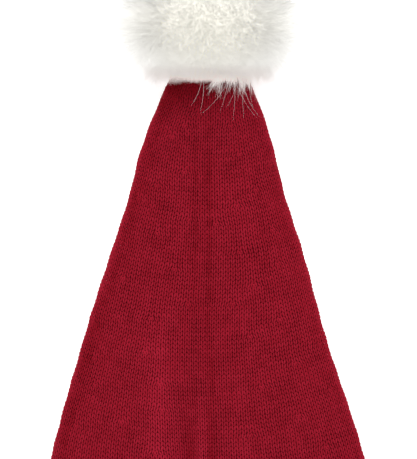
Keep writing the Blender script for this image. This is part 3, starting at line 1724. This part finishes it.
@dataclass
class Pompom:
    """The fur ball: a padded core, a dense short coat, longer hairs and loose hairs on the knit."""

    ball: BallForm
    crown: CrownForm
    finish: FurFinish
    core_finish: FurFinish
    loose_finish: FurFinish
    coats: tuple[Coat, ...]
    core_detail: int = 5
    bulk: float = 0.0045
    lump_depth: float = 0.0012
    lump_fineness: float = 5.0
    lowest: float = 0.002
    room: float = 0.0012
    fur_from: Rise = Rise(1.05, 0.25)
    side_from: Rise = Rise(0.5, 0.3)
    skirt_from: Rise = Rise(0.15, 0.45)
    right_from: Rise = Rise(0.40, 0.4)
    top_from: Rise = Rise(0.25, 0.5)
    back_from: Rise = Rise(0.55, 0.35)
    tuft_at: tuple[float, float] = (0.55, 0.2)
    tuft_spread: tuple[float, float] = (0.35, 0.4)
    fuller: tuple[float, float] = (0.66, 0.56)
    skirt_thinner: tuple[float, float] = (0.95, 0.6)
    shorter_by_tip: float = 0.5
    shorter_on_top: float = 0.24
    tuft_pull: float = 0.35
    skirt_pull: float = 0.7
    locks: tuple[float, float, float] = (0.2, 0.65, 0.9)
    wisps: WispField = WispField()
    hair_curl: float = 8.0
    hair_heading: float = 0.05
    closes_in: float = 0.6
    over_knit: float = 0.0007
    inside_edge: float = 0.003
    stray_looseness: float = 0.3
    least_forward: float = 0.05
    no_line: float = -1.0
    fur_ends_at: float = 0.1347
    line_waver: float = 0.0006
    left_drop: float = 0.001
    left_drop_from: Rise = Rise(0.008, 0.015)
    tuft_drop: float = 0.003
    tuft_drop_from: Rise = Rise(0.004, 0.030)
    knit_ends: tuple[Rise, Rise] = (Rise(-0.036, 0.006), Rise(-0.044, 0.008))
    shortest: float = 0.0015
    unlimited: float = 0.1
    strays: tuple[Wisp, ...] = (
        Wisp(-0.0051, 0.1350, -1.80, -19.0, 0.0163),
        Wisp(-0.0034, 0.1385, -1.52, -5.6, 0.0230),
        Wisp(0.0139, 0.1385, -1.95, -5.8, 0.0310),
        Wisp(0.0139, 0.1395, -1.75, -4.6, 0.0245),
        Wisp(0.0173, 0.1395, -1.45, -4.7, 0.0290),
        Wisp(0.0194, 0.1360, -1.80, -10.0, 0.0190),
        Wisp(0.0187, 0.1375, -1.30, 8.4, 0.0290),
        Wisp(0.0235, 0.1385, -1.45, 8.4, 0.0285),
        Wisp(0.0235, 0.1350, -1.60, 1.6, 0.0235),
        Wisp(0.0092, 0.1385, -1.75, -8.0, 0.0150),
        Wisp(0.0296, 0.1375, -1.25, 9.0, 0.0180),
        Wisp(0.0275, 0.1390, -1.50, 4.0, 0.0210),
    )
    seed: int = 23

    def near_crown(self, ways: np.ndarray) -> np.ndarray:
        """How near the crown's tip each place on the ball is.

        Args:
            ways: The ways out from the ball's middle.

        Returns:
            0 where the fur stands free, 1 where the crown's tip goes into it.
        """
        start = self.crown.gather_start
        tip = self.crown.tip
        offset = self.ball.centre(tip) + ways * self.ball.halves - tip
        across = offset[:, 0] / self.crown.half_width(start)
        above = offset[:, 2] / (self.crown.value("height", start) * self.crown.loft / 2.0)
        return np.where(ways[:, 1] > 0.0, 0.0, 1.0 - self.fur_from(np.hypot(across, above)))

    def hair_limits(self, points: np.ndarray, ways: np.ndarray) -> tuple[np.ndarray, np.ndarray]:
        """How long the hairs over the knit may be, and the line that they end at.

        Args:
            points: The core's points.
            ways: The way out from the core's centre for each.

        Returns:
            For each point the longest hair, and the least Y that its hairs may reach.
        """
        forward = -unit(ways / self.ball.halves)[:, 1]
        x, y = points[:, 0], points[:, 1]
        line = self.fur_ends_at - self.tuft_drop * self.tuft_drop_from(x)
        line = line - self.left_drop * self.left_drop_from(-x)
        line = line + np.random.default_rng(self.seed).normal(0.0, self.line_waver, len(points))
        room = (y - line) / np.maximum(forward, self.least_forward)
        left, right = self.knit_ends
        over = right(-x) * left(x)
        room = np.clip(room, self.shortest, self.unlimited) - self.unlimited
        room = self.unlimited + over * room
        return room, np.where((over > 0.5) & (ways[:, 1] < 0.0), line, self.no_line)

    def build_core(self) -> Object:
        """The core, dented where the crown's tip goes in, with what its fur needs to know.

        Returns:
            The core, not yet dressed.
        """
        bm = bmesh.new()
        bmesh.ops.create_icosphere(bm, subdivisions=self.core_detail, radius=1.0)
        mesh = bpy.data.meshes.new("pompom_core")
        bm.to_mesh(mesh)
        bm.free()
        mesh.shade_smooth()
        ways = np.array([v.co[:] for v in mesh.vertices])
        near = self.near_crown(ways)
        lumps = np.array([noise.noise(Vector(way) * self.lump_fineness) for way in ways])
        bulk = (self.bulk + self.lump_depth * lumps)[:, None]
        points = self.ball.centre(self.crown.tip) + ways * (self.ball.halves + bulk)
        points[:, 2] = np.maximum(points[:, 2], self.lowest)
        floor = self.crown.tip[1] + self.room
        dented = np.maximum(points[:, 1], floor)
        points[:, 1] = points[:, 1] + (dented - points[:, 1]) * near
        mesh.vertices.foreach_set("co", points.astype(np.float32).ravel())
        sideways = np.arctan2(ways[:, 0], -ways[:, 1])
        above = np.arcsin(np.clip(ways[:, 2], -1.0, 1.0))
        angles = zip((sideways, above), self.tuft_at, self.tuft_spread)
        tuft = np.exp(-sum(((angle - at) / spread) ** 2 for angle, at, spread in angles))
        beside = self.side_from(np.abs(ways[:, 0]))
        skirt = self.skirt_from(-ways[:, 1]) * beside
        left = ways[:, 0] < 0.0
        fuller = np.where(left, *self.fuller) * beside
        fuller = fuller * (1.0 - np.where(left, *self.skirt_thinner) * skirt)
        length = (1.0 + fuller) * (1.0 - self.shorter_by_tip * near)
        length = length * (1.0 - self.shorter_on_top * self.top_from(ways[:, 2]))
        pull = self.tuft_pull * tuft + self.skirt_pull * skirt
        pull = pull[:, None] * np.array((0.0, -1.0, 0.0))
        usual, more_right, more_behind = self.locks
        locks = usual + more_right * self.right_from(ways[:, 0])
        locks = locks + more_behind * self.back_from(ways[:, 1])
        values = (1.0 - near, length, *self.hair_limits(points, ways), pull, locks)
        for attribute, value in zip(SCALP_VALUES, values):
            add_attribute(mesh, attribute, value)
        set_even_tone(mesh)
        mesh.uv_layers.new(name="Yarn")
        return link(bpy.data.objects.new("pompom_core", mesh))

    def build(self, groups: Groups, inventory: Inventory) -> None:
        """Makes the core and its coats.

        Args:
            groups: The shared node groups.
            inventory: Takes the finished pieces.
        """
        core = self.build_core()
        area = sum(face.area for face in core.data.polygons)
        fur = self.finish.build(groups)
        tree = fur_tree()
        for coat in self.coats:
            hair = coat.hair.build(coat.name + "_hair")
            scalp = link(bpy.data.objects.new(coat.name + "_scalp", core.data.copy()))
            inputs = {
                "Hair": hair,
                "Hair Length": coat.hair.length,
                "Density": coat.count / area,
                "Comb": coat.comb,
                "Shake": coat.shake,
                "Droop": coat.droop,
                "Shortest": coat.shortest,
                "Seed": coat.seed,
                "Fur": fur,
            }
            made = grow(coat.name, scalp, tree, inputs, SCALP_VALUES)
            discard(hair)
            made.data.shade_smooth()
            inventory.take(made, Slot.FUR)
        core.data.materials.append(self.core_finish.build(groups))
        inventory.take(core, Slot.FUR, "pompom")
        inventory.take(self.build_loose_hairs(self.loose_finish.build(groups)), Slot.FUR)

    def build_loose_hairs(self, fur: Material) -> Object:
        """Wisps and long single hairs that have come forward out of the fur and lie on the knit.

        Args:
            fur: Their material.

        Returns:
            The hairs as one piece.
        """
        chance = np.random.default_rng(self.seed)
        points, edges, thick = [], [], []

        def lay(wisp: Wisp, aside: float, share: float, loose: float) -> None:
            """One hair of a wisp, which closes in on the wisp's middle towards its tip.

            Args:
                wisp: The wisp.
                aside: How far to the side it starts.
                share: Its length, as a share of the wisp's.
                loose: How much its way and curl may differ from the wisp's.
            """
            length = wisp.length * share
            along = (wisp.y - length - self.crown.hem_y) / self.crown.length
            limit = float(self.crown.half_width(along)) - self.inside_edge
            curl = wisp.curl + loose * chance.normal(0.0, self.hair_curl)
            heading = wisp.heading + loose * chance.normal(0.0, self.hair_heading)
            start = len(points)
            for i in range(wisp.steps):
                t = i / (wisp.steps - 1)
                turn = heading + curl * length * t
                apart = aside * (1.0 - self.closes_in * t)
                x = wisp.x + apart + math.cos(turn) * length * t
                y = wisp.y + math.sin(turn) * length * t
                height = wisp.lift * (1.0 - t) ** 2 + self.over_knit
                points.append((max(-limit, min(limit, x)), y, height))
                thick.append(wisp.thick)
            edges.extend((start + i, start + i + 1) for i in range(wisp.steps - 1))

        edge = self.wisps
        for _ in range(edge.count):
            wisp = edge.wisp(chance)
            for _ in range(int(chance.integers(*edge.hairs))):
                aside = chance.normal(0.0, edge.hairs_apart)
                lay(wisp, aside, chance.uniform(*edge.hair_shares), 1.0)
        for wisp in self.strays:
            lay(wisp, 0.0, 1.0, self.stray_looseness)
        points = np.array(points)
        points[:, 2] += self.crown.top_height(points[:, 0], points[:, 1])
        mesh = bpy.data.meshes.new("loose_hair_lines")
        mesh.from_pydata([tuple(p) for p in points], edges, [])
        add_attribute(mesh, "thick", np.array(thick))
        lines = link(bpy.data.objects.new("loose_hair_lines", mesh))
        made = grow("pompom_loose_hairs", lines, strand_tree(), {"Radius": 0.0001, "Fur": fur})
        made.data.shade_smooth()
        face_outwards(made)
        return made


# The yarn tie


@dataclass
class Tie:
    """The yarn that holds the pompom on: a knot inside the crown's tip and a twisted stem."""

    crown: CrownForm
    finish: YarnFinish
    radius: float = 0.0024
    knot_radius: float = 0.0048
    knot_flatness: float = 0.6
    knot_length: float = 0.92
    knot_from: float = 0.06
    knot_run: float = 0.9
    knot_until: float = 0.97
    end_share: float = 0.4
    reach: float = 0.009
    gap: float = 0.0003
    plies: int = 3
    turns: float = 2.0
    groove_depth: float = 0.16
    sides: int = 24
    rows: int = 26

    def build(self, groups: Groups, inventory: Inventory) -> None:
        """Makes the tie as one closed twisted form.

        Args:
            groups: The shared node groups.
            inventory: Takes the finished piece.
        """
        inside = -self.crown.wall - self.gap
        back = inside - 2.0 * self.knot_radius * self.knot_flatness * self.knot_length
        rings, places = [], []
        for i in range(self.rows):
            t = i / (self.rows - 1)
            distance = back + (self.reach - back) * t
            knot = (distance - back) / (inside - back)
            radius = self.radius
            if knot < 1.0:
                phase = min(self.knot_until, self.knot_from + self.knot_run * knot)
                bulge = self.knot_radius * math.sin(math.pi * phase)
                radius = max(bulge, self.radius * min(1.0, self.end_share + knot))
            ring = []
            for j in range(self.sides):
                turn = math.tau * j / self.sides
                groove = abs(math.sin(self.plies / 2.0 * (turn + self.turns * math.tau * t)))
                size = radius * (1.0 - self.groove_depth + self.groove_depth * groove)
                ring.append((size * math.cos(turn), distance, size * math.sin(turn)))
            rings.append(np.array(ring) + self.crown.tip)
        faces = ring_faces(self.rows, self.sides)
        faces.append(tuple(range(self.sides)))
        faces.append(tuple(range((self.rows - 1) * self.sides, self.rows * self.sides)))
        obj = mesh_object("tie_yarn_twist", np.concatenate(rings), faces)
        for face in faces:
            places += [(c // self.sides / self.rows, c % self.sides / self.sides) for c in face]
        add_uv(obj.data, "Yarn", np.array(places))
        set_even_tone(obj.data)
        face_outwards(obj)
        obj.data.materials.append(self.finish.build(groups))
        inventory.take(obj, Slot.TIE, "pompom_tie")


# The studio


@dataclass(frozen=True)
class Studio:
    """A plain pale floor, soft light and the camera straight above the hat."""

    picture_height: int = 459
    metres_per_pixel: float = 0.0007
    middle: tuple[float, float] = (0.0, 0.0357)
    sharp_height: float = 0.0085
    camera_height: float = 1.5
    camera_sees: tuple[float, float] = (0.05, 50.0)
    sensor: float = 36.0
    floor_size: float = 12.0
    floor_gap: float = 0.0002
    floor_colour: tuple[float, float, float] = (0.93, 0.93, 0.93)
    floor_glow: float = 0.36
    sky: float = 1.3
    key_power: float = 20.0
    key_size: float = 1.2
    key_place: tuple[float, float, float] = (-0.05, 0.95, 1.4)

    def build(self) -> None:
        """Makes the floor, the lights and the camera."""
        scene = bpy.context.scene
        scene.view_settings.view_transform = "Standard"
        self.build_floor()
        world = bpy.data.worlds.new("studio_white")
        world.use_nodes = True
        background = world.node_tree.nodes["Background"]
        background.inputs["Color"].default_value = (1.0, 1.0, 1.0, 1.0)
        background.inputs["Strength"].default_value = self.sky
        scene.world = world
        light = bpy.data.lights.new("key", "AREA")
        light.energy = self.key_power
        light.size = self.key_size
        key = link(bpy.data.objects.new("key", light))
        key.location = self.key_place
        target = Vector((*self.middle, 0.0))
        key.rotation_euler = (target - key.location).to_track_quat("-Z", "Y").to_euler()
        camera = bpy.data.cameras.new("camera")
        camera.sensor_width = self.sensor
        seen = self.picture_height * self.metres_per_pixel
        camera.lens = self.sensor * (self.camera_height - self.sharp_height) / seen
        camera.clip_start, camera.clip_end = self.camera_sees
        above = link(bpy.data.objects.new("camera", camera))
        above.location = (*self.middle, self.camera_height)
        scene.camera = above

    def build_floor(self) -> None:
        """The floor, just below the hat."""
        half = self.floor_size / 2.0
        corners = [(-half, -half), (half, -half), (half, half), (-half, half)]
        floor = mesh_object(
            "floor", np.array([(x, y, -self.floor_gap) for x, y in corners]), [(0, 1, 2, 3)]
        )
        made, tree, shader = new_material("floor_white")
        looks = {
            "Base Color": (*self.floor_colour, 1.0),
            "Roughness": 0.9,
            "Specular IOR Level": 0.1,
            "Emission Color": (1.0, 1.0, 1.0, 1.0),
            "Emission Strength": self.floor_glow,
        }
        tree.feed(shader, looks)
        floor.data.materials.append(made)


def main() -> None:
    """Builds the hat's pieces in order, then the studio."""
    logging.basicConfig(level=logging.INFO, format="%(name)s: %(message)s")
    ball = BallForm()
    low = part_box("crown")[0]
    tip_height = CrownForm.stations[-1].height * CrownForm.loft
    tip_lift = ball.centre_height - ball.tip_below_centre - tip_height / 2.0
    form = CrownForm(hem_y=low[1], tip_lift=tip_lift)
    groups = Groups.build()
    inventory = Inventory()

    yarn = YarnFinish(
        name="red_yarn",
        dark=(0.106, 0.0006, 0.0018),
        light=(0.261, 0.0092, 0.0225),
        dark_at=-0.3,
    )
    behind = YarnFinish(
        name="red_knit_behind",
        dark=(0.071, 0.0012, 0.0035),
        light=(0.12, 0.0022, 0.006),
        relief=Relief.PURL,
        relief_depth=0.0004,
        sheen=0.03,
    )
    tie = YarnFinish(
        name="tie_yarn_red",
        dark=(0.142, 0.0014, 0.0060),
        light=yarn.light,
        relief_depth=0.0001,
    )
    Crown(form, Fabric(form), yarn, behind).build(groups, inventory)

    core = FurFinish(
        name="cream_fur_core",
        root=(0.90, 0.88, 0.82),
        tip=(0.92, 0.90, 0.855),
        cream=(0.92, 0.895, 0.80),
        blush=(0.78, 0.73, 0.68),
        dusk=(0.80, 0.79, 0.75),
        centre=tuple(ball.centre(form.tip)),
        halves=tuple(ball.halves),
        softness=0.5,
    )
    fur = replace(
        core,
        name="cream_fur_hair",
        root=(0.95, 0.93, 0.875),
        tip=(0.975, 0.968, 0.945),
        cream=(0.97, 0.95, 0.865),
        blush=(0.83, 0.75, 0.71),
        dusk=(0.84, 0.83, 0.79),
        softness=0.9,
        root_glow=0.45,
        tip_glow=0.53,
        glow_lost_above=0.82,
        glow_lost_behind=0.85,
        front_glow=0.10,
        edge_glow=-0.24,
    )
    loose = replace(
        fur,
        name="cream_fur_loose",
        blush=(0.95, 0.91, 0.89),
        softness=0.3,
        root_glow=0.16,
        tip_glow=0.13,
        front_glow=0.0,
        edge_glow=0.0,
    )
    under, guard = HairShape(0.0145, 0.000085, 0.30, 1), HairShape(0.0250, 0.00006, 0.35, 2)
    coats = (
        Coat("pompom_underfur", under, 54000, 0.5, 0.35, 0.10, 0.3, 3),
        Coat("pompom_guard_hairs", guard, 21000, 0.6, 0.4, 0.12, 0.35, 41),
    )
    Pompom(ball, form, fur, core, loose, coats).build(groups, inventory)
    Tie(form, tie).build(groups, inventory)
    inventory.check()

    Studio().build()


if __name__ == "__main__":
    main()
